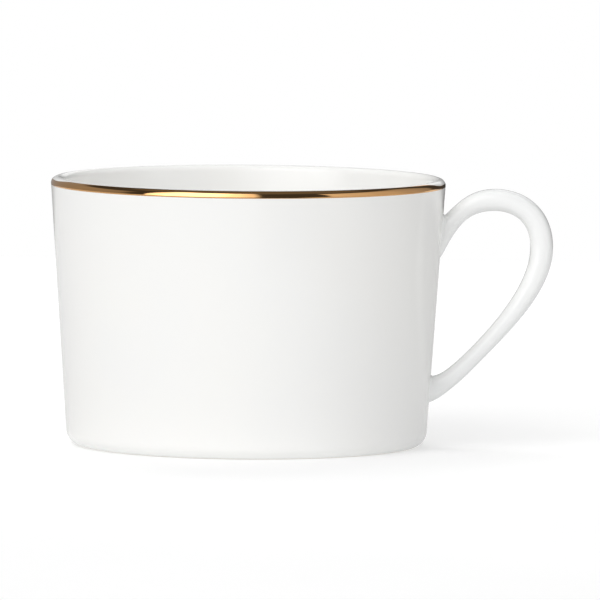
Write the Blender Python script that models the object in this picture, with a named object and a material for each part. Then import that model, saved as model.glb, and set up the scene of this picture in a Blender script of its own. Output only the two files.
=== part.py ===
"""A can-shaped china teacup: bowl, loop handle, the slip that joins them, and a gold band on the lip.

The origin is on the bowl's axis, in the plane the cup stands on. +Z is up and the handle points to +X.
All sizes are in metres.
"""

import math

import bmesh
import bpy
from mathutils import Vector
from mathutils.geometry import interpolate_bezier

MM = 0.001

# Bowl
RIM_RADIUS = 44.0 * MM  # of the straight outer wall, carried up to the lip's crest
HEIGHT = 59.6 * MM
TAPER = 0.068  # radius lost for each unit of depth below the crest
LIP_WALL = 2.8 * MM
FOOT_WALL = 3.2 * MM
HEEL_RADIUS = 3.3 * MM
FLOOR_TOP = 4.0 * MM
FLOOR_CORNER_RADIUS = 5.0 * MM

# Foot ring: a flat contact ring round a shallow recess
RECESS_DEPTH = 0.7 * MM
FOOT_RING_WIDTH = 2.0 * MM
RECESS_CORNER_RADIUS = 0.5 * MM

# Gold band on the lip, let into the wall so that its outside is flush
BAND_DEPTH = 1.6 * MM  # from the crest to the band's lower edge
BAND_TOP_ANGLE = 70.0  # how far round the lip the band climbs, in degrees above level
BAND_THICKNESS = 0.3 * MM
GAP = 0.3 * MM  # clearance left between neighbouring pieces

# Handle: knots of a smooth path in the XZ plane, from the upper root over the crown and down to the
# lower root. Each knot has its x and z, its heading in degrees above +X, the reach of the curve
# behind and ahead of it, and the handle's half thickness. Both ends start inside the wall, and are
# trimmed to it.
HANDLE_KNOTS = (
    (41.0 * MM, 44.8 * MM, 54.0, 0.0 * MM, 9.0 * MM, 1.9 * MM),
    (55.0 * MM, 55.1 * MM, 0.0, 5.7 * MM, 5.0 * MM, 2.5 * MM),
    (65.4 * MM, 44.4 * MM, -90.0, 7.6 * MM, 7.6 * MM, 2.7 * MM),
    (51.2 * MM, 20.9 * MM, -134.0, 11.0 * MM, 6.0 * MM, 1.9 * MM),
    (39.0 * MM, 13.0 * MM, -195.0, 3.7 * MM, 0.0 * MM, 2.3 * MM),
)
UPPER_FLARE = 1.3 * MM  # added to the half thickness at each root
LOWER_FLARE = 1.9 * MM
FLARE_LENGTH = 0.6  # share of the end stretch over which the flare fades
HALF_WIDTH_EXTRA = 1.1 * MM  # the section is wider across than it is thick
SLIP_THICKNESS = 0.8 * MM
SLIP_OVERHANG = 0.4 * MM  # the slip stands out round the root by this much

# Facets
TURNED_STEPS = 72
HANDLE_STEPS = 12  # rings in each stretch of the handle
HANDLE_SIDES = 20
ARC_STEP = 15.0  # degrees

WALL_LEAN = math.atan(TAPER)
WALL_FACES = -math.degrees(WALL_LEAN)  # the way the outer wall faces, in degrees above level


def arc(centre, radius, start, end):
    """Points (r, z) round an arc, from one angle to another in degrees, ends included."""
    steps = max(1, round(abs(end - start) / ARC_STEP))
    angles = [math.radians(start + (end - start) * i / steps) for i in range(steps + 1)]
    return [(centre[0] + radius * math.cos(a), centre[1] + radius * math.sin(a)) for a in angles]


def outer_radius(z):
    """The straight outer wall's radius at a height."""
    return RIM_RADIUS - TAPER * (HEIGHT - z)


def inner_radius(z):
    """The straight inner wall's radius at a height."""
    return outer_radius(z) - FOOT_WALL + (FOOT_WALL - LIP_WALL) * z / HEIGHT


def touching(wall_radius, radius, z):
    """Centre, at height z, of an arc of this radius that touches the wall from the axis side."""
    return (wall_radius(z) - radius / math.cos(WALL_LEAN), z)


def lip_arc(inset, start, end):
    """Part of the round lip moved in by inset, from one angle to another in degrees above level."""
    radius = LIP_WALL / 2
    return arc(touching(outer_radius, radius, HEIGHT - radius), radius - inset, start, end)


def below_band(inset, drop):
    """The point of the outer wall, moved in by inset, that lies below the band's lower edge by drop."""
    z = HEIGHT - BAND_DEPTH - drop
    return (outer_radius(z) - inset / math.cos(WALL_LEAN), z)


def turned(name, profile, closed):
    """A solid made by spinning a profile of (r, z) points about the Z axis."""
    bm = bmesh.new()
    verts = [bm.verts.new((r, 0.0, z)) for r, z in profile]
    pairs = list(zip(verts, verts[1:]))
    if closed:
        pairs.append((verts[-1], verts[0]))
    edges = [bm.edges.new(pair) for pair in pairs]
    bmesh.ops.spin(
        bm,
        geom=verts + edges,
        cent=(0.0, 0.0, 0.0),
        axis=(0.0, 0.0, 1.0),
        angle=math.tau,
        steps=TURNED_STEPS,
        use_merge=True,
    )
    bmesh.ops.remove_doubles(bm, verts=bm.verts, dist=0.001 * MM)
    return finished(name, bm)


def finished(name, bm):
    """Turns the bmesh into a smooth-shaded object in the scene."""
    bmesh.ops.recalc_face_normals(bm, faces=bm.faces)
    mesh = bpy.data.meshes.new(name)
    bm.to_mesh(mesh)
    bm.free()
    mesh.shade_smooth()
    mesh.set_sharp_from_angle(angle=math.radians(40.0))
    obj = bpy.data.objects.new(name, mesh)
    bpy.context.scene.collection.objects.link(obj)
    return obj


def foot_profile():
    """The underside's section, from the axis over the recess and the contact ring to the outer wall."""
    heel = touching(outer_radius, HEEL_RADIUS, HEEL_RADIUS)
    recess_radius = heel[0] - FOOT_RING_WIDTH
    corner = (recess_radius - RECESS_CORNER_RADIUS, RECESS_DEPTH - RECESS_CORNER_RADIUS)
    profile = [(0.0, RECESS_DEPTH)]
    profile += arc(corner, RECESS_CORNER_RADIUS, 90.0, 0.0)
    profile += [(recess_radius, 0.0)]
    return profile + arc(heel, HEEL_RADIUS, -90.0, WALL_FACES)


def lip_profile():
    """The lip's section, with the rebate that the band lies in, from the outer wall to the inner one."""
    seat = BAND_THICKNESS + GAP
    rebate_end = BAND_TOP_ANGLE + math.degrees(GAP / (LIP_WALL / 2))
    profile = [below_band(0.0, GAP), below_band(seat, GAP)]
    profile += lip_arc(seat, WALL_FACES, rebate_end)
    return profile + lip_arc(0.0, rebate_end, 180.0 + WALL_FACES)


def inside_profile():
    """The inside's section, from the inner wall's foot round the corner to the axis."""
    corner = touching(inner_radius, FLOOR_CORNER_RADIUS, FLOOR_TOP + FLOOR_CORNER_RADIUS)
    return arc(corner, FLOOR_CORNER_RADIUS, WALL_FACES, -90.0) + [(0.0, FLOOR_TOP)]


def band_profile():
    """The band's section: up its outside and back down its inside."""
    outside = [below_band(0.0, 0.0)] + lip_arc(0.0, WALL_FACES, BAND_TOP_ANGLE)
    inside = [below_band(BAND_THICKNESS, 0.0)]
    inside += lip_arc(BAND_THICKNESS, WALL_FACES, BAND_TOP_ANGLE)
    return outside + inside[::-1]


def handle_path():
    """Stations along the handle: (centre, unit tangent, half thickness)."""
    centres = []
    halves = []
    stretches = list(zip(HANDLE_KNOTS, HANDLE_KNOTS[1:]))
    for index, (first, second) in enumerate(stretches):
        x0, z0, heading0, _, ahead, half0 = first
        x1, z1, heading1, behind, _, half1 = second
        start = Vector((x0, 0.0, z0))
        end = Vector((x1, 0.0, z1))
        points = interpolate_bezier(
            start,
            start + ahead * along(heading0),
            end - behind * along(heading1),
            end,
            HANDLE_STEPS + 1,
        )
        for step, point in enumerate(points):
            if index and not step:
                continue
            share = step / HANDLE_STEPS
            ease = share * share * (3.0 - 2.0 * share)
            half = half0 + (half1 - half0) * ease
            if index == 0:
                half += UPPER_FLARE * flare(share)
            if index == len(stretches) - 1:
                half += LOWER_FLARE * flare(1.0 - share)
            centres.append(point)
            halves.append(half)
    tangents = [
        (centres[min(i + 1, len(centres) - 1)] - centres[max(i - 1, 0)]).normalized()
        for i in range(len(centres))
    ]
    return list(zip(centres, tangents, halves))


def along(heading):
    """Unit vector in the XZ plane, its heading in degrees above +X."""
    angle = math.radians(heading)
    return Vector((math.cos(angle), 0.0, math.sin(angle)))


def flare(share):
    """1 at a root, fading smoothly to 0."""
    return max(0.0, 1.0 - share / FLARE_LENGTH) ** 2


def swept_handle(name, swell):
    """The whole handle with oval sections, every section larger by swell, its ends still in the wall."""
    bm = bmesh.new()
    rings = []
    for centre, tangent, half in handle_path():
        outward = Vector((-tangent.z, 0.0, tangent.x))
        ring = []
        for side in range(HANDLE_SIDES):
            angle = math.tau * side / HANDLE_SIDES
            offset = outward * (half + swell) * math.cos(angle)
            offset.y = (half + HALF_WIDTH_EXTRA + swell) * math.sin(angle)
            ring.append(bm.verts.new(centre + offset))
        rings.append(ring)
    for ring, following in zip(rings, rings[1:]):
        for side in range(HANDLE_SIDES):
            other = (side + 1) % HANDLE_SIDES
            bm.faces.new((ring[side], ring[other], following[other], following[side]))
    bm.faces.new(rings[0])
    bm.faces.new(rings[-1])
    return finished(name, bm)


def wall_block(name, clearance, reach):
    """A solid cone frustum that follows the outer wall, standing off it by clearance."""
    low = -reach
    high = HEIGHT + reach
    bm = bmesh.new()
    bmesh.ops.create_cone(
        bm,
        cap_ends=True,
        segments=TURNED_STEPS,
        radius1=outer_radius(low) + clearance,
        radius2=outer_radius(high) + clearance,
        depth=high - low,
    )
    bmesh.ops.translate(bm, verts=bm.verts, vec=(0.0, 0.0, (low + high) / 2))
    return helper(finished(name, bm))


def half_block(name, above):
    """A large box above or below half height, which parts the handle's upper root from its lower one."""
    split = HEIGHT / 2
    size = 4 * HEIGHT
    bm = bmesh.new()
    bmesh.ops.create_cube(bm, size=size)
    shift = size / 2 if above else -size / 2
    bmesh.ops.translate(bm, verts=bm.verts, vec=(0.0, 0.0, split + shift))
    return helper(finished(name, bm))


def helper(obj):
    """Marks an object as a cutter that isn't part of the cup."""
    obj.hide_render = True
    obj.display_type = "WIRE"
    return obj


def boolean(obj, other, operation):
    """Adds an exact Boolean to the object."""
    modifier = obj.modifiers.new(f"{operation.lower()}_{other.name}", "BOOLEAN")
    modifier.operation = operation
    modifier.solver = "EXACT"
    modifier.object = other


def principled(name, base_color, roughness, metallic):
    """A material with one Principled BSDF."""
    material = bpy.data.materials.new(name)
    material.use_nodes = True
    shader = material.node_tree.nodes["Principled BSDF"]
    shader.inputs["Base Color"].default_value = (*base_color, 1.0)
    shader.inputs["Roughness"].default_value = roughness
    shader.inputs["Metallic"].default_value = metallic
    return material


def clear_scene():
    """Removes everything that is in the scene."""
    for obj in list(bpy.data.objects):
        bpy.data.objects.remove(obj, do_unlink=True)


def build():
    clear_scene()
    glaze = principled("glazed_bone_china", (0.86, 0.86, 0.84), 0.12, 0.0)
    slip_glaze = principled("glazed_slip", (0.84, 0.84, 0.82), 0.15, 0.0)
    gold = principled("fired_gold", (0.95, 0.55, 0.25), 0.12, 1.0)

    profile = foot_profile() + lip_profile() + inside_profile()
    body = turned("cup_body", profile, closed=False)
    body.data.materials.append(glaze)

    band = turned("rim_gold_band", band_profile(), closed=True)
    band.data.materials.append(gold)

    slip_inside = wall_block("slip_inside_cutter", GAP, 5.0 * MM)
    slip_outside = wall_block("slip_outside_cutter", GAP + SLIP_THICKNESS, 6.0 * MM)
    root_cutter = wall_block("root_cutter", GAP + SLIP_THICKNESS + GAP, 5.0 * MM)

    handle = swept_handle("handle", 0.0)
    handle.data.materials.append(glaze)
    boolean(handle, root_cutter, "DIFFERENCE")

    for name, above in (("upper_slip_joint", True), ("lower_slip_joint", False)):
        joint = swept_handle(name, SLIP_OVERHANG)
        joint.data.materials.append(slip_glaze)
        boolean(joint, half_block(f"{name}_half", above), "INTERSECT")
        boolean(joint, slip_outside, "INTERSECT")
        boolean(joint, slip_inside, "DIFFERENCE")


build()
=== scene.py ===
"""The looks of a gold-rimmed china teacup: a fine mesh for each piece, its finish, a studio and a camera.

Everything is in metres in the cup's own frame: the origin is on the bowl's axis in the plane it stands
on, +Z is up and the handle points to +X. Angles are in degrees unless a name says otherwise.
"""

import math

import bpy
import numpy as np
from mathutils import Matrix, Vector


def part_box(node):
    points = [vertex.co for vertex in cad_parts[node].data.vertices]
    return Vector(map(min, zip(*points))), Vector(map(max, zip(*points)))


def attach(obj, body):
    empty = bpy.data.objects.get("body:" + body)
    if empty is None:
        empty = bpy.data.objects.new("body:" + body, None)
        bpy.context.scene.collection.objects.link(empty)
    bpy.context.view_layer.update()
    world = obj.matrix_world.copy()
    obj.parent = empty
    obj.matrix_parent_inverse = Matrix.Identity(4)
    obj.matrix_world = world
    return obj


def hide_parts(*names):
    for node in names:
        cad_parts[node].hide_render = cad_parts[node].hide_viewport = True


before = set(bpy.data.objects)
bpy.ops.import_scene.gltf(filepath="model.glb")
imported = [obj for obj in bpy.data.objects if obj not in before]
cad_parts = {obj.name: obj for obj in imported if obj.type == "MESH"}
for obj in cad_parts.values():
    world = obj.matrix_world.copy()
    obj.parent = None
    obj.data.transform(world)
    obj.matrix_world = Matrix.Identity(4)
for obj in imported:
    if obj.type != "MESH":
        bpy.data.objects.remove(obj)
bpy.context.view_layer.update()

MM = 0.001

# Bowl. The lip, its height and the wall's radius come from the frame.
BAND_LOW, BAND_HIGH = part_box("rim_gold_band")
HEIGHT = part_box("cup_body")[1].z
TAPER = 0.068  # radius lost for each unit of depth below the crest
LIP_WALL = 2.8 * MM
LIP_RADIUS = LIP_WALL / 2
FOOT_WALL = 3.2 * MM
HEEL_RADIUS = 3.3 * MM
FLOOR_TOP = 4.0 * MM
FLOOR_CORNER_RADIUS = 5.0 * MM
RECESS_DEPTH = 0.7 * MM
FOOT_RING_WIDTH = 2.0 * MM
RECESS_CORNER_RADIUS = 0.5 * MM
FOOT_EDGE_RADIUS = 0.15 * MM  # where the ring meets the recess
WALL_LEAN = math.atan(TAPER)
WALL_FACES = -math.degrees(WALL_LEAN)  # the way the outer wall faces, above level
# Of the outer wall's line, carried up to the crest
RIM_RADIUS = BAND_HIGH.x + LIP_RADIUS / math.cos(WALL_LEAN) - LIP_RADIUS + TAPER * LIP_RADIUS

# Gold band: a film on the lip
BAND_TOP_ANGLE = 70.0  # how far round the lip it climbs
BAND_PROUD = 0.02 * MM  # how far it stands out of the glaze
BAND_SUNK = 0.06 * MM  # how far its underside lies inside
BAND_WAVER = 0.02 * MM  # how far its brushed edges stray
BAND_SPILL = 0.14 * MM  # how far below the frame's band its lower edge runs
BAND_DIPS = (1.15 * MM, 0.6 * MM)  # how much less it climbs beside the handle, and opposite it
BAND_DIP_SPAN = (12.0, 27.0)  # degrees round the rim over which a dip fades
BAND_EDGE_SHARES = (0.0, 0.02, 0.05)  # of the band's width, for the rows that round its edges
BAND_EDGE_LIFTS = (-1.0, 0.5)  # of BAND_PROUD, for the first two of those rows
BAND_INNER_SHARES = (0.08, 0.92)
BAND_ROWS = 19  # between those shares
WAVE_COUNTS = (2, 3, 5, 9, 14)  # of the waves in a brushed edge's waver
WAVE_SCALE = 2.2  # brings their sum to about 1

# Handle: knots of a smooth path in the XZ plane, measured inwards and down from the outer top corner
# of the frame's handle. Each has those two distances, its heading above +X, the reach of the curve
# behind and ahead of it, and the handle's half thickness there.
HANDLE_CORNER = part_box("handle")[1]
HANDLE_KNOTS = (
    (27.0 * MM, 12.9 * MM, 54.0, 0.0 * MM, 9.0 * MM, 1.6 * MM),
    (13.1 * MM, 2.6 * MM, 0.0, 5.7 * MM, 5.0 * MM, 2.42 * MM),
    (2.7 * MM, 13.2 * MM, -90.0, 7.6 * MM, 7.6 * MM, 2.53 * MM),
    (16.83 * MM, 36.77 * MM, -134.0, 11.0 * MM, 6.0 * MM, 1.8 * MM),
    (29.1 * MM, 44.65 * MM, -195.0, 3.7 * MM, 0.0 * MM, 2.15 * MM),
)
UPPER_FLARE = 1.3 * MM
LOWER_FLARE = 1.6 * MM
FLARE_LENGTH = 0.55  # share of the end stretch over which a root's flare fades
LEAD_IN = 0.12  # path parameter by which each root is carried on into the wall
PATH_END = len(HANDLE_KNOTS) - 1.0  # path parameter of the last knot
ROOT_SPAN = 0.9  # path parameter from either end within which a root leaves the wall
HALF_WIDTH_EXTRA = 1.1 * MM  # by which the handle's half width is more than its half thickness
ROUNDNESS = 0.76  # of the handle's section: 1 is an ellipse, less is flatter on all four sides
FILLET_RADII = (0.3 * MM, 1.2 * MM)  # of the slip over and under each root, and at its sides
FILLET_SUNK = 0.01 * MM  # the slip's edge dips this far into the wall, so that no gap shows
FILLET_LIMIT = 0.98  # largest cosine of the angle that a fillet bridges
SLOPE_STEP = 1e-4  # share of the searched stretch over which a skin line's direction is measured

# Mesh fineness
TURNED_SIDES = 288
ARC_STEP = 5.0
RECESS_ARC_STEP = 15.0
FOOT_EDGE_ARC_STEP = 22.5
STRAIGHT_STEPS = 6
SUPPORT = 0.3 * MM  # how close to each end of a straight stretch a point holds its direction
BOWL_SHARP_ANGLE = 50.0
BAND_SHARP_ANGLE = 60.0
HANDLE_SIDES = 72
HANDLE_ROWS = 260
FILLET_ROWS = 10
BISECT_STEPS = 40


# ---------------------------------------------------------------- curves and meshes


def unit(vectors):
    """Vectors brought to length 1."""
    return vectors / np.linalg.norm(vectors, axis=-1)[..., None]


def eased(share):
    """A share from 0 to 1, eased at both ends."""
    return share * share * (3 - 2 * share)


def bezier(t, p0, p1, p2, p3):
    """Points at t on a cubic curve with these control points."""
    return (1 - t) ** 3 * p0 + 3 * (1 - t) ** 2 * t * p1 + 3 * (1 - t) * t**2 * p2 + t**3 * p3


def bisect(test, low, high):
    """Where test turns from false to true between low and high, for whole arrays at once."""
    for _ in range(BISECT_STEPS):
        middle = (low + high) / 2
        past = test(middle)
        low, high = np.where(past, low, middle), np.where(past, middle, high)
    return high


def new_object(name, vertices, faces):
    """An object in the scene with a mesh of these vertices and faces."""
    mesh = bpy.data.meshes.new(name)
    mesh.from_pydata([tuple(v) for v in vertices], [], [tuple(f) for f in faces])
    obj = bpy.data.objects.new(name, mesh)
    bpy.context.scene.collection.objects.link(obj)
    return obj


def ring_quads(rows, sides):
    """Quads between neighbouring rows of points, each row a ring.

    The last of them join the last row to the first.
    """
    index = np.arange(rows * sides).reshape(rows, sides)
    beside = np.roll(index, -1, axis=1)
    below = np.roll(index, -1, axis=0)
    across = np.roll(beside, -1, axis=0)
    return np.stack([index, beside, across, below], axis=-1).reshape(-1, 4).tolist()


def tube(name, points, first_pole, last_pole, normals=None):
    """A closed mesh from rows of points, each row a ring, with a fan over each end."""
    rows, sides, _ = points.shape
    ring = np.arange(sides)
    beside = np.roll(ring, -1)
    first, last = rows * sides, rows * sides + 1
    last_ring = (rows - 1) * sides
    quads = ring_quads(rows, sides)[:-sides]  # all but those that join the last row to the first
    fans = [(first, b, a) for a, b in zip(ring, beside)]
    fans += [(last, a, b) for a, b in zip(last_ring + ring, last_ring + beside)]
    obj = new_object(name, [*points.reshape(-1, 3), first_pole, last_pole], quads + fans)
    obj.data.shade_smooth()
    if normals is None:
        obj.data.set_sharp_from_angle(angle=math.radians(BOWL_SHARP_ANGLE))
    else:
        ends = [normals[0].mean(axis=0), normals[-1].mean(axis=0)]
        obj.data.normals_split_custom_set_from_vertices([*normals.reshape(-1, 3), *ends])
    return obj


def ring_tube(name, points):
    """A closed ring from rows of points that run round the Z axis; the last row joins the first."""
    rows, sides, _ = points.shape
    obj = new_object(name, points.reshape(-1, 3), ring_quads(rows, sides))
    obj.data.shade_smooth()
    obj.data.set_sharp_from_angle(angle=math.radians(BAND_SHARP_ANGLE))
    return obj


# ---------------------------------------------------------------- bowl


def arc(centre, radius, start, end, step=ARC_STEP):
    """Points (r, z) round an arc, ends included."""
    steps = max(1, round(abs(end - start) / step))
    angles = np.radians(np.linspace(start, end, steps + 1))
    return [(centre[0] + radius * math.cos(a), centre[1] + radius * math.sin(a)) for a in angles]


def straight(start, end):
    """Inner points of a straight stretch: one close to each end, and a few between."""
    start, end = np.array(start), np.array(end)
    share = SUPPORT / np.linalg.norm(end - start)
    shares = [share, *np.linspace(0.0, 1.0, STRAIGHT_STEPS + 1)[1:-1], 1.0 - share]
    return [tuple(start + (end - start) * s) for s in shares]


def joined(*runs):
    """One profile out of several runs of points, with straight stretches between them."""
    profile = list(runs[0])
    for run in runs[1:]:
        profile += straight(profile[-1], run[0])
        profile += run
    return profile


def outer_radius(z):
    """The straight outer wall's radius at a height."""
    return RIM_RADIUS - TAPER * (HEIGHT - z)


def inner_radius(z):
    """The straight inner wall's radius at a height."""
    return outer_radius(z) - FOOT_WALL + (FOOT_WALL - LIP_WALL) * z / HEIGHT


def touching(wall_radius, radius, z):
    """Centre, at height z, of an arc of this radius that touches the wall from the axis side."""
    return (wall_radius(z) - radius / math.cos(WALL_LEAN), z)


def ring_radius():
    """Inner radius of the ring the cup stands on."""
    return touching(outer_radius, HEEL_RADIUS, HEEL_RADIUS)[0] - FOOT_RING_WIDTH


def bowl_profile():
    """The bowl's section, from the axis under the floor, round the outside and the lip, to the axis."""
    heel = touching(outer_radius, HEEL_RADIUS, HEEL_RADIUS)
    recess = ring_radius()
    corner = (recess - RECESS_CORNER_RADIUS, RECESS_DEPTH - RECESS_CORNER_RADIUS)
    edge = (recess + FOOT_EDGE_RADIUS, FOOT_EDGE_RADIUS)
    lip = touching(outer_radius, LIP_RADIUS, HEIGHT - LIP_RADIUS)
    inside = touching(inner_radius, FLOOR_CORNER_RADIUS, FLOOR_TOP + FLOOR_CORNER_RADIUS)
    return joined(
        [(0.0, RECESS_DEPTH)],
        arc(corner, RECESS_CORNER_RADIUS, 90.0, 0.0, RECESS_ARC_STEP)
        + arc(edge, FOOT_EDGE_RADIUS, 180.0, 270.0, FOOT_EDGE_ARC_STEP),
        arc(heel, HEEL_RADIUS, -90.0, WALL_FACES),
        arc(lip, LIP_RADIUS, WALL_FACES, 180.0 + WALL_FACES),
        arc(inside, FLOOR_CORNER_RADIUS, WALL_FACES, -90.0),
        [(0.0, FLOOR_TOP)],
    )


def turned(name, profile):
    """A closed mesh made by turning a profile that starts and ends on the Z axis."""
    rings = np.array(profile[1:-1])
    angles = np.linspace(0.0, 2.0 * math.pi, TURNED_SIDES, endpoint=False)
    points = np.empty((len(rings), TURNED_SIDES, 3))
    points[..., 0] = rings[:, :1] * np.cos(angles)
    points[..., 1] = rings[:, :1] * np.sin(angles)
    points[..., 2] = rings[:, 1:]
    return tube(name, points, (0.0, 0.0, profile[0][1]), (0.0, 0.0, profile[-1][1]))


# ---------------------------------------------------------------- handle and slip


def along(heading):
    """Unit vector in the XZ plane, as (x, z)."""
    angle = math.radians(heading)
    return np.array([math.cos(angle), math.sin(angle)])


def handle_path(u):
    """Centre, unit tangent and half thickness at path parameters u, which grow by 1 from knot to knot."""
    knots = [
        (np.array((HANDLE_CORNER.x - inwards, HANDLE_CORNER.z - down)), *rest)
        for inwards, down, *rest in HANDLE_KNOTS
    ]
    centre = np.empty((*u.shape, 2))
    tangent = np.empty((*u.shape, 2))
    half = np.empty(u.shape)
    for i, (start, end) in enumerate(zip(knots, knots[1:])):
        here = np.clip(np.floor(u), 0, PATH_END - 1) == i
        t = (u[here] - i)[:, None]
        p0, start_heading, _, ahead, start_half = start
        p3, end_heading, behind, _, end_half = end
        p1 = p0 + ahead * along(start_heading)
        p2 = p3 - behind * along(end_heading)
        centre[here] = bezier(t, p0, p1, p2, p3)
        slope = (1 - t) ** 2 * (p1 - p0) + 2 * (1 - t) * t * (p2 - p1) + t**2 * (p3 - p2)
        tangent[here] = slope / np.linalg.norm(slope, axis=1)[:, None]
        half[here] = start_half + (end_half - start_half) * eased(t)[:, 0]
    half += UPPER_FLARE * flare(u) + LOWER_FLARE * flare(PATH_END - u)
    return centre, tangent, half


def flare(past):
    """1 at an end knot and before it, fading to 0 over FLARE_LENGTH past it."""
    return np.clip(1 - np.clip(past, 0, None) / FLARE_LENGTH, 0, None) ** 2


def squarish(component):
    """A cosine or sine, changed so that the oval they draw is flatter on all four sides."""
    return np.sign(component) * np.abs(component) ** ROUNDNESS


def handle_skin(u, side):
    """Points on the handle's oval skin, at path parameters u and angles side (radians, 0 is outwards)."""
    centre, tangent, half = handle_path(u)
    lift = half * squarish(np.cos(side))
    x = centre[..., 0] - tangent[..., 1] * lift
    z = centre[..., 1] + tangent[..., 0] * lift
    y = -(half + HALF_WIDTH_EXTRA) * squarish(np.sin(side))
    return np.stack([x, y, z], axis=-1)


def wall_gap(points):
    """How far points stand off the bowl's outer wall; negative inside it."""
    radius = np.hypot(points[..., 0], points[..., 1])
    return (radius - outer_radius(points[..., 2])) * math.cos(WALL_LEAN)


def wall_normal(points):
    """The outer wall's unit normal nearest to points."""
    radius = np.hypot(points[..., 0], points[..., 1])
    level = points[..., :2] / radius[..., None] * math.cos(WALL_LEAN)
    return np.concatenate([level, np.full((*radius.shape, 1), -math.sin(WALL_LEAN))], axis=-1)


def root(side, inside, outside):
    """The slip at one root. inside and outside are path parameters within and beyond the wall.

    Returns rows of points from the wall to the handle, and the path parameter where each line of the
    handle's skin takes over.
    """
    step = (outside - inside) * SLOPE_STEP
    at = bisect(
        lambda u: wall_gap(handle_skin(u, side)) > 0,
        np.full(side.shape, inside),
        np.full(side.shape, outside),
    )
    crossing = handle_skin(at, side)
    rise = unit(handle_skin(at + step, side) - crossing)
    seam = unit(np.roll(crossing, -1, axis=0) - np.roll(crossing, 1, axis=0))
    normal = wall_normal(crossing)
    spread = unit(np.cross(normal, seam))
    away = np.sum(spread * (crossing - crossing.mean(axis=0)), axis=-1)
    spread *= np.sign(away)[:, None]
    square = unit(rise - np.sum(rise * seam, axis=-1)[:, None] * seam)
    opening = np.arccos(np.clip(np.sum(square * spread, axis=-1), -FILLET_LIMIT, FILLET_LIMIT))
    fillet = FILLET_RADII[0] + (FILLET_RADII[1] - FILLET_RADII[0]) * np.sin(side) ** 2
    reach = fillet / np.tan(opening / 2)
    taken = bisect(
        lambda u: np.linalg.norm(handle_skin(u, side) - crossing, axis=-1) > reach,
        at,
        np.full(side.shape, outside),
    )
    end = handle_skin(taken, side)
    end_rise = unit(handle_skin(taken + step, side) - end)
    start = crossing + spread * reach[:, None]
    start -= wall_normal(start) * (wall_gap(start) + FILLET_SUNK)[:, None]
    pull = (4 / 3 * np.tan((math.pi - opening) / 4) * fillet)[:, None]  # makes the curve near a round arc
    t = np.linspace(0.0, 1.0, FILLET_ROWS + 1)[:, None, None]
    return bezier(t, start, start - spread * pull, end - end_rise * pull, end), taken


def grid_normals(points):
    """Outward unit normals of a grid whose rows are rings."""
    down = np.gradient(points, axis=0)
    across = np.roll(points, -1, axis=1) - np.roll(points, 1, axis=1)
    normals = unit(np.cross(across, down))
    centres = points.mean(axis=1, keepdims=True)
    outward = np.sum(normals * (points - centres)) > 0
    return normals if outward else -normals


def build_handle():
    """The upper slip, the handle and the lower slip: three pieces that share one smooth skin."""
    side = np.linspace(0.0, 2.0 * math.pi, HANDLE_SIDES, endpoint=False)
    upper, first = root(side, -LEAD_IN, ROOT_SPAN)
    lower, last = root(side, PATH_END + LEAD_IN, PATH_END - ROOT_SPAN)
    share = np.linspace(0.0, 1.0, HANDLE_ROWS + 1)[:, None]
    u = first + (last - first) * share
    middle = handle_skin(u, np.broadcast_to(side, u.shape))
    skin = np.concatenate([upper[:-1], middle, lower[::-1][1:]])
    normals = grid_normals(skin)
    for row in (0, -1):
        normals[row] = wall_normal(skin[row])
    cut_a, cut_b = FILLET_ROWS, FILLET_ROWS + HANDLE_ROWS
    pieces = []
    for name, low, high in (
        ("upper_slip", 0, cut_a),
        ("loop_handle", cut_a, cut_b),
        ("lower_slip", cut_b, len(skin) - 1),
    ):
        rows = skin[low : high + 1]
        poles = [rows[0].mean(axis=0), rows[-1].mean(axis=0)]
        pieces.append(tube(name, rows, *poles, normals[low : high + 1]))
    return pieces


# ---------------------------------------------------------------- gold


def wave(angles, seed):
    """A gentle closed waver round the rim, between about -1 and 1."""
    rng = np.random.default_rng(seed)
    total = np.zeros_like(angles)
    for count in WAVE_COUNTS:
        total += np.cos(count * angles + rng.uniform(0.0, 2.0 * math.pi)) / math.sqrt(count)
    return total / WAVE_SCALE


def dip(angles):
    """How much less the gold climbs beside the handle and opposite it, where a brush load ended."""
    turn = np.degrees(np.abs((angles + math.pi) % (2.0 * math.pi) - math.pi))
    total = np.zeros_like(angles)
    for depth, away in ((BAND_DIPS[0], turn), (BAND_DIPS[1], 180.0 - turn)):
        fade = np.clip((BAND_DIP_SPAN[1] - away) / (BAND_DIP_SPAN[1] - BAND_DIP_SPAN[0]), 0.0, 1.0)
        total += depth * eased(fade)
    return total


def build_band():
    """The gold film: it follows the lip from the straight wall up to its shoulder, with feathered edges."""
    angles = np.linspace(0.0, 2.0 * math.pi, TURNED_SIDES, endpoint=False)
    centre = touching(outer_radius, LIP_RADIUS, HEIGHT - LIP_RADIUS)
    tangent_z = centre[1] + LIP_RADIUS * math.sin(math.radians(WALL_FACES))
    below = (tangent_z - BAND_LOW.z) / math.cos(WALL_LEAN) + BAND_SPILL
    around = LIP_RADIUS * math.radians(BAND_TOP_ANGLE - WALL_FACES)
    low = -below + BAND_WAVER * wave(angles, 1)
    high = around + BAND_WAVER * wave(angles, 2) - dip(angles)
    edge = np.array(BAND_EDGE_SHARES)
    shares = np.concatenate([edge, np.linspace(*BAND_INNER_SHARES, BAND_ROWS), 1.0 - edge[::-1]])
    lifts = np.ones(len(shares))
    lifts[:2] = BAND_EDGE_LIFTS
    lifts[-2:] = BAND_EDGE_LIFTS[::-1]
    rows = [low + (high - low) * share for share in shares]
    outside = [on_lip(row, BAND_PROUD * lift, centre, angles) for row, lift in zip(rows, lifts)]
    inside = [on_lip(row, -BAND_SUNK, centre, angles) for row in rows[::-1]]
    return ring_tube("gold_rim_line", np.array(outside + inside))


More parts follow.
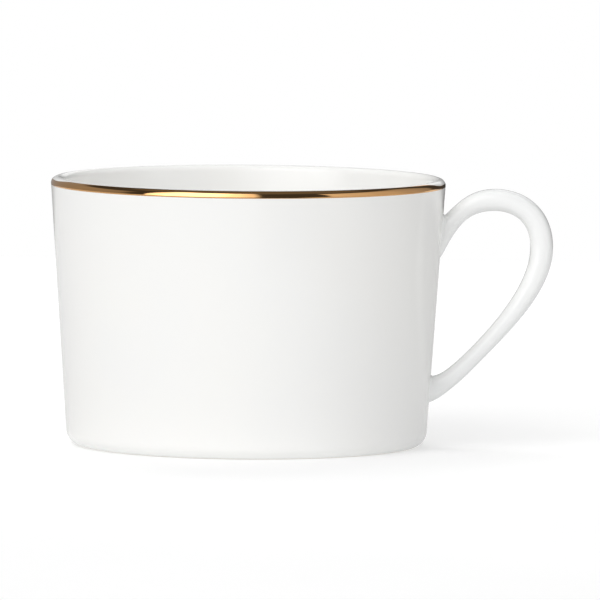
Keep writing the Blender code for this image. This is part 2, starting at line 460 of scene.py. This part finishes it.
def on_lip(distance, lift, centre, angles):
    """Points round the cup at a distance along the lip's section, counted from where the round begins."""
    start = math.radians(WALL_FACES)
    turn = start + np.clip(distance, 0.0, None) / LIP_RADIUS
    back = np.clip(distance, None, 0.0)
    radius = centre[0] + (LIP_RADIUS + lift) * np.cos(turn) - back * math.sin(start)
    z = centre[1] + (LIP_RADIUS + lift) * np.sin(turn) + back * math.cos(start)
    return np.stack([radius * np.cos(angles), radius * np.sin(angles), z], axis=-1)


# ---------------------------------------------------------------- node helpers


class Graph:
    """Short calls for building a node tree. A value may be a number, a tuple or another node's output."""

    def __init__(self, tree):
        self.tree = tree

    def feed(self, node, inputs):
        """Sets or links inputs of a node, by their names or numbers."""
        for key, value in dict(inputs).items():
            if isinstance(value, bpy.types.NodeSocket):
                self.tree.links.new(value, node.inputs[key])
            else:
                node.inputs[key].default_value = value

    def node(self, kind, inputs=(), **settings):
        made = self.tree.nodes.new(kind)
        for key, value in settings.items():
            setattr(made, key, value)
        self.feed(made, inputs)
        return made

    def math(self, operation, *values):
        return self.node("ShaderNodeMath", enumerate(values), operation=operation).outputs[0]

    def product(self, *values):
        """All the values multiplied together."""
        total, *others = values
        for other in others:
            total = self.math("MULTIPLY", total, other)
        return total

    def split(self, vector):
        """A vector's X, Y and Z, by those names."""
        return self.node("ShaderNodeSeparateXYZ", {0: vector}).outputs

    def grey(self, level):
        """A grey colour of this level."""
        return self.node("ShaderNodeCombineColor", dict.fromkeys(range(3), level)).outputs[0]

    def ramp(self, value, low, high, start=0.0, end=1.0, smooth=True):
        """value mapped from low..high to start..end, held beyond them."""
        made = self.node(
            "ShaderNodeMapRange",
            {"Value": value, "From Min": low, "From Max": high, "To Min": start, "To Max": end},
            interpolation_type="SMOOTHSTEP" if smooth else "LINEAR",
        )
        return made.outputs["Result"]

    def window(self, value, low, high, soft):
        """1 between low and high, 0 outside, with soft edges."""
        rise = self.ramp(value, low - soft, low + soft)
        fall = self.ramp(value, high - soft, high + soft, 1.0, 0.0)
        return self.product(rise, fall)

    def through(self, value, stops):
        """A smooth curve through stops, each (value, height)."""
        total = stops[0][1]
        for (low, first), (high, second) in zip(stops, stops[1:]):
            total = self.math("ADD", total, self.ramp(value, low, high, 0.0, second - first))
        return total

    def noise(self, vector, scale, detail=2.0):
        inputs = {"Vector": vector, "Scale": scale, "Detail": detail, "Roughness": 0.5}
        return self.node("ShaderNodeTexNoise", inputs).outputs["Fac"]

    def from_axis(self, place):
        """A place's distance from the Z axis."""
        level = self.node("ShaderNodeVectorMath", {0: place, 1: (1.0, 1.0, 0.0)}, operation="MULTIPLY")
        size = self.node("ShaderNodeVectorMath", {0: level.outputs["Vector"]}, operation="LENGTH")
        return size.outputs["Value"]

    def mix(self, share, first, second):
        """Two colours mixed."""
        made = self.node("ShaderNodeMix", data_type="RGBA")
        self.feed(made, {0: share, 6: first, 7: second})  # 6, 7 and output 2 are the colours' own sockets
        return made.outputs[2]

    def bump(self, height, distance, normal=None):
        """Bumps of this height, in metres, over a 0 to 1 pattern."""
        inputs = {"Height": height, "Distance": distance, "Strength": 1.0}
        if normal is not None:
            inputs["Normal"] = normal
        return self.node("ShaderNodeBump", inputs).outputs["Normal"]


def new_material(name):
    """An empty node material and its graph, shader and position in millimetres."""
    material = bpy.data.materials.new(name)
    material.use_nodes = True
    graph = Graph(material.node_tree)
    shader = material.node_tree.nodes["Principled BSDF"]
    place = graph.node("ShaderNodeTexCoord").outputs["Object"]
    scaled = graph.node("ShaderNodeVectorMath", {0: place, "Scale": 1.0 / MM}, operation="SCALE")
    return material, graph, shader, scaled.outputs["Vector"]


# ---------------------------------------------------------------- materials

# Noise scales are features per millimetre. Heights above the table and distances are in millimetres,
# unless MM stands beside them. A range is the stretch of a noise's values that a pattern is spread over.
NOISE_RANGE = (0.3, 0.7)

# Glaze. Its tones are pairs of whites that drift into each other.
BOWL_TONES = ((0.95, 0.946, 0.926, 1.0), (0.94, 0.939, 0.926, 1.0))
# The handle's whites are cooler than the bowl's: a painted cool tint for the cooler light that falls on the
# handle, on the cup's right.
HANDLE_COOL_LIGHT_TONES = ((0.944, 0.95, 0.943, 1.0), (0.937, 0.944, 0.941, 1.0))
TONE_SCALE, TONE_RANGE = 0.035, (0.35, 0.65)
POOL_TINT = (0.89, 0.905, 0.885, 1.0)
HEEL_POOL = 0.5  # share of the pool tint at the foot
HEEL_POOL_HEIGHTS = (2.5, 0.2)  # over which it grows
SLIP_POOL = 0.12  # share of the pool tint in the slip joints' hollows
GLAZE_IOR = 1.52
GLAZE_SPECULAR = 0.34
GLAZE_ROUGHNESS = (0.09, 0.14)
ROUGHNESS_SCALE = 0.25
SWAY_SCALE, SWAY_HEIGHT = 0.07, 0.03 * MM  # the wall's slow unevenness
PEEL_SCALE, PEEL_HEIGHT = 0.45, 0.0035 * MM  # the glaze's faint orange peel

# Bare china under the foot ring, where the glaze was wiped off
BARE_TINT = (0.80, 0.775, 0.72, 1.0)
BARE_HEIGHTS = (0.12, 0.02)  # over which it begins
BARE_EDGE_SCALE, BARE_EDGE_DEPTH = 1.4, 0.25  # how ragged that is
BARE_INNER_EDGE = 0.2  # how far inside the ring it fades
BARE_ROUGHNESS = 0.6  # more than the glaze's
BARE_SPECULAR = 0.2
GRAIN_SCALE, GRAIN_HEIGHT = 9.0, 0.02 * MM

# Gold
THICK_GOLD = (0.78, 0.445, 0.195, 1.0)
THIN_GOLD = (0.73, 0.405, 0.17, 1.0)
GOLD_ROUGHNESS = (0.03, 0.08)
PATCH_SCALE, PATCH_RANGE, PATCH_ROUGHNESS = 0.12, (0.4, 0.7), 0.03
STROKE_SCALES = (3.0, 7.0)  # per radian round the rim, and per millimetre up the lip
STROKE_RANGE = (0.35, 0.7)
STROKE_HEIGHT = 0.0012 * MM


def glaze_material(name, tones, pool=0.0):
    """Clear gloss glaze over white bone china. pool is the share of the pool tint all over the piece."""
    material, graph, shader, place = new_material(name)
    height = graph.split(place)["Z"]
    colour = graph.mix(graph.ramp(graph.noise(place, TONE_SCALE, detail=3.0), *TONE_RANGE), *tones)
    pooling = graph.math("ADD", graph.ramp(height, *HEEL_POOL_HEIGHTS, 0.0, HEEL_POOL), pool)
    colour = graph.mix(pooling, colour, POOL_TINT)

    ragged = graph.product(graph.noise(place, BARE_EDGE_SCALE), BARE_EDGE_DEPTH)
    wiped = graph.ramp(graph.math("SUBTRACT", height, ragged), *BARE_HEIGHTS)
    inner = ring_radius() / MM
    bare = graph.product(wiped, graph.ramp(graph.from_axis(place), inner - BARE_INNER_EDGE, inner))
    colour = graph.mix(bare, colour, BARE_TINT)

    normal = graph.bump(graph.noise(place, SWAY_SCALE, detail=1.0), SWAY_HEIGHT)
    normal = graph.bump(graph.noise(place, PEEL_SCALE, detail=1.0), PEEL_HEIGHT, normal)
    grain = graph.product(graph.noise(place, GRAIN_SCALE, detail=4.0), bare)
    cloudy = graph.noise(place, ROUGHNESS_SCALE, detail=3.0)
    roughness = graph.ramp(cloudy, *NOISE_RANGE, *GLAZE_ROUGHNESS)
    graph.feed(
        shader,
        {
            "Base Color": colour,
            "Roughness": graph.math("ADD", roughness, graph.product(bare, BARE_ROUGHNESS)),
            "IOR": GLAZE_IOR,
            "Specular IOR Level": graph.ramp(bare, 0.0, 1.0, GLAZE_SPECULAR, BARE_SPECULAR),
            "Normal": graph.bump(grain, GRAIN_HEIGHT, normal),
        },
    )
    return material


def gold_material():
    """Fired bright gold, brushed on while the cup turns: a mirror with faint strokes along the line."""
    material, graph, shader, place = new_material("bright_gold")
    parts = graph.split(place)
    turn = graph.math("ARCTAN2", parts["Y"], parts["X"])
    brush = {0: graph.product(turn, STROKE_SCALES[0]), 2: graph.product(parts["Z"], STROKE_SCALES[1])}
    strokes = graph.noise(graph.node("ShaderNodeCombineXYZ", brush).outputs[0], 1.0, detail=3.0)
    patches = graph.ramp(graph.noise(place, PATCH_SCALE), *PATCH_RANGE, 0.0, PATCH_ROUGHNESS)
    graph.feed(
        shader,
        {
            "Base Color": graph.mix(graph.ramp(strokes, *STROKE_RANGE), THICK_GOLD, THIN_GOLD),
            "Metallic": 1.0,
            "Roughness": graph.math("ADD", graph.ramp(strokes, *NOISE_RANGE, *GOLD_ROUGHNESS), patches),
            "Normal": graph.bump(strokes, STROKE_HEIGHT),
        },
    )
    return material


# ---------------------------------------------------------------- table

FLOOR_FRONT = 0.45
FLOOR_BACK = 0.55
FLOOR_SIDE = 0.9
FLOOR_DROP = 0.01 * MM  # below the foot ring, so that the two don't lie in one plane
FLOOR_ROUGHNESS = 0.8
FLOOR_GRAIN_SCALE, FLOOR_GRAIN = 0.01, (0.98, 1.0)

# What the table reflects and gives off: for the light it throws on the cup, then as the camera sees it.
# Distances are in millimetres from the axis.
TABLE_WHITENESS = (0.4, 0.69)
TABLE_GLOW = (0.37, 0.37)
NEAR_GLOW = 0.16  # more light from close round the foot, where the table shines up from below
NEAR_DISTANCES = (44.0, 55.0)  # over which that fades
NEAR_RIGHT, NEAR_RIGHT_SHARE = (14.0, 46.0), 0.1  # it is weaker to the right, on the cup's shadow side
FAR_DIMMING = 0.15  # less light from behind the cup, on the right
FAR_BACK = (60.0, 140.0)  # how far behind the axis that begins
FAR_RIGHT = (20.0, 60.0)  # and how far to the right of it

# A painted dark reflection: a patch of the table in front, on the right, darkened only for reflections, as
# a black flag lying there would show
DARK_REFLECTION_SIDES = (30.0, 225.0)
DARK_REFLECTION_SOFTNESS = 15.0  # of its sides
DARK_REFLECTION_FRONT = (-100.0, -150.0)  # how far in front of the axis it may begin
DARK_REFLECTION_START = (240.0, 275.0)  # distances from the axis over which it begins
DARK_REFLECTION_DARKNESS = 0.9


def floor_material():
    """A plain pale table. It glows a little, like a light table, so that only soft shadows show on it."""
    material, graph, shader, place = new_material("pale_table")
    path = graph.node("ShaderNodeLightPath").outputs
    parts = graph.split(place)
    distance = graph.from_axis(place)
    # painted dark reflection: the table's colour and glow made darker for glossy rays only
    dark_reflection = graph.product(
        graph.window(parts["X"], *DARK_REFLECTION_SIDES, DARK_REFLECTION_SOFTNESS),
        path["Is Glossy Ray"],
        graph.ramp(parts["Y"], *DARK_REFLECTION_FRONT),
        graph.ramp(distance, *DARK_REFLECTION_START),
        DARK_REFLECTION_DARKNESS,
    )
    undarkened = graph.math("SUBTRACT", 1.0, dark_reflection)
    near = graph.ramp(distance, *NEAR_DISTANCES, NEAR_GLOW, 0.0)
    near = graph.product(near, graph.ramp(parts["X"], *NEAR_RIGHT, 1.0, NEAR_RIGHT_SHARE))
    far = graph.ramp(parts["Y"], *FAR_BACK, 0.0, FAR_DIMMING)
    far = graph.product(far, graph.ramp(parts["X"], *FAR_RIGHT))
    upward = graph.math("ADD", graph.math("SUBTRACT", near, far), TABLE_GLOW[0])
    upward = graph.product(upward, undarkened)

    seen = path["Is Camera Ray"]
    whiteness = graph.ramp(seen, 0.0, 1.0, *TABLE_WHITENESS, smooth=False)
    grain = graph.ramp(graph.noise(place, FLOOR_GRAIN_SCALE), *NOISE_RANGE, *FLOOR_GRAIN)
    graph.feed(
        shader,
        {
            "Base Color": graph.grey(graph.product(whiteness, grain, undarkened)),
            "Roughness": FLOOR_ROUGHNESS,
            "Specular IOR Level": 0.0,
            "Emission Color": (1.0, 1.0, 1.0, 1.0),
            "Emission Strength": graph.ramp(seen, 0.0, 1.0, upward, TABLE_GLOW[1], smooth=False),
        },
    )
    return material


def build_floor():
    """The table top."""
    left, right, front, back = -FLOOR_SIDE, FLOOR_SIDE, -FLOOR_FRONT, FLOOR_BACK
    corners = [(x, y, -FLOOR_DROP) for x, y in ((left, front), (right, front), (right, back), (left, back))]
    floor = new_object("table_top", corners, [(0, 1, 2, 3)])
    floor.data.materials.append(floor_material())


# ---------------------------------------------------------------- studio

# Soft panels round the cup. Each has its brightness at a few azimuths (0 is the camera's side, + is to the
# right), the elevations where it begins and ends, how soft those edges are, and how many times as bright it
# is in reflections.
PANELS = (
    # key, left of the camera
    (((-64, 0.0), (-61, 1.35), (-48, 2.2), (-20, 2.15), (-8, 1.3), (3, 0.85), (9, 0.0)),
     -5.0, 60.0, 3.0, 1.5),
    # fill, on the right, and its dimmer far end
    (((47, 0.0), (51, 1.1), (70, 0.95), (88, 0.8), (92, 0.0)),
     -6.0, 42.0, 5.0, 0.76),
    (((88, 0.0), (92, 0.6), (112, 0.44), (133, 0.29), (139, 0.0)),
     -6.0, 42.0, 5.0, 1.0),
    # the room's left side
    (((-190, 0.28), (-130, 0.28), (-117, 0.31), (-97, 0.29), (-84, 0.24), (-72, 0.0)),
     -6.0, 34.0, 3.0, 1.0),
    # the white wall behind, seen past the right of the cup
    (((156, 0.0), (164, 0.9), (190, 0.9)),
     9.0, 28.0, 3.0, 1.0),
)
CEILING = (48.0, 60.0, 0.10)  # elevations over which it begins, and its brightness
ROOM_BRIGHTNESS = 0.06

# Bounce boards that light the cup's dull white but are kept out of its reflections: azimuth, elevation,
# width and height in metres, brightness
BOARD_DISTANCE = 1.5
BOARDS = (
    (180.0, 58.0, 1.10, 0.60, 2.8),
    (-168.0, 32.0, 1.10, 0.60, 1.2),
    (-100.0, 58.0, 1.10, 0.60, 1.35),
    (-27.0, 60.0, 1.00, 0.60, 0.6),
    (28.0, 30.0, 1.00, 1.20, 0.8),
    (0.0, 89.0, 1.10, 1.10, 0.47),
)


def build_world():
    """A dim room with large soft panels. The camera sees plain white beyond the table."""
    world = bpy.data.worlds.new("studio")
    world.use_nodes = True
    world.node_tree.nodes.clear()
    graph = Graph(world.node_tree)
    aim = graph.node("ShaderNodeTexCoord").outputs["Generated"]
    parts = graph.split(aim)
    to_camera = graph.product(parts["Y"], -1.0)
    azimuth = graph.math("DEGREES", graph.math("ARCTAN2", parts["X"], to_camera))
    elevation = graph.math("DEGREES", graph.math("ARCSINE", parts["Z"]))
    ceiling = graph.ramp(elevation, CEILING[0], CEILING[1], 0.0, CEILING[2])
    total = graph.math("ADD", ceiling, ROOM_BRIGHTNESS)
    path = graph.node("ShaderNodeLightPath").outputs
    for stops, low, high, soft, gain in PANELS:
        mirrored = graph.ramp(path["Is Glossy Ray"], 0.0, 1.0, 1.0, gain, smooth=False)
        level = graph.product(graph.through(azimuth, stops), mirrored)
        total = graph.math("MULTIPLY_ADD", level, graph.window(elevation, low, high, soft), total)
    level = graph.ramp(path["Is Camera Ray"], 0.0, 1.0, total, 1.0, smooth=False)
    background = graph.node("ShaderNodeBackground", {"Color": graph.grey(level), "Strength": 1.0})
    graph.node("ShaderNodeOutputWorld", {"Surface": background.outputs[0]})
    bpy.context.scene.world = world


def build_boards():
    """Area lights for the bounce boards, each facing the cup."""
    for number, (azimuth, elevation, width, height, brightness) in enumerate(BOARDS):
        side, lift = math.radians(azimuth), math.radians(elevation)
        away = Vector((math.cos(lift) * math.sin(side), -math.cos(lift) * math.cos(side), math.sin(lift)))
        data = bpy.data.lights.new(f"board_{number}", "AREA")
        data.shape = "RECTANGLE"
        data.size, data.size_y = width, height
        data.energy = brightness * math.pi * width * height
        board = bpy.data.objects.new(data.name, data)
        board.location = away * BOARD_DISTANCE
        board.rotation_euler = away.to_track_quat("Z", "Y").to_euler()
        board.visible_camera = False
        board.visible_glossy = False
        bpy.context.scene.collection.objects.link(board)


# ---------------------------------------------------------------- camera

CAMERA_TARGET = Vector((11.7 * MM, 0.0, 32.33 * MM))
CAMERA_DISTANCE = 2.6
CAMERA_ELEVATION = 4.48
CAMERA_ROLL = 0.45
CAMERA_LENS = 700.5
CAMERA_SENSOR = 36.0


def build_camera():
    """A long lens from the front, a little above the rim, leaning a touch."""
    elevation = math.radians(CAMERA_ELEVATION)
    roll = math.radians(CAMERA_ROLL)
    back = Vector((0.0, -math.cos(elevation), math.sin(elevation)))
    right = Vector((1.0, 0.0, 0.0))
    up = back.cross(right)
    right, up = (
        math.cos(roll) * right + math.sin(roll) * up,
        math.cos(roll) * up - math.sin(roll) * right,
    )
    data = bpy.data.cameras.new("camera")
    data.sensor_width = CAMERA_SENSOR
    data.lens = CAMERA_LENS
    camera = bpy.data.objects.new("camera", data)
    turn = Matrix((right, up, back)).transposed().to_4x4()
    camera.matrix_world = Matrix.Translation(CAMERA_TARGET + back * CAMERA_DISTANCE) @ turn
    bpy.context.scene.collection.objects.link(camera)
    bpy.context.scene.camera = camera


# ---------------------------------------------------------------- scene


def dress(piece, node, material):
    """Gives a piece its material and puts it in the frame in place of a CAD node."""
    piece.data.materials.append(material)
    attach(piece, "root")
    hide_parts(node)


bowl_glaze = glaze_material("bone_china_glaze", BOWL_TONES)
# The handle and its slip joints take the cooler whites: painted cool light on that side of the cup.
handle_glaze = glaze_material("handle_glaze", HANDLE_COOL_LIGHT_TONES)
slip_glaze = glaze_material("pooled_glaze", HANDLE_COOL_LIGHT_TONES, SLIP_POOL)
dress(turned("bowl", bowl_profile()), "cup_body", bowl_glaze)
upper_slip, loop_handle, lower_slip = build_handle()
dress(upper_slip, "upper_slip_joint", slip_glaze)
dress(loop_handle, "handle", handle_glaze)
dress(lower_slip, "lower_slip_joint", slip_glaze)
dress(build_band(), "rim_gold_band", gold_material())

build_world()
build_boards()
build_floor()
build_camera()
view = bpy.context.scene.view_settings
view.view_transform = "Standard"
view.look = "None"
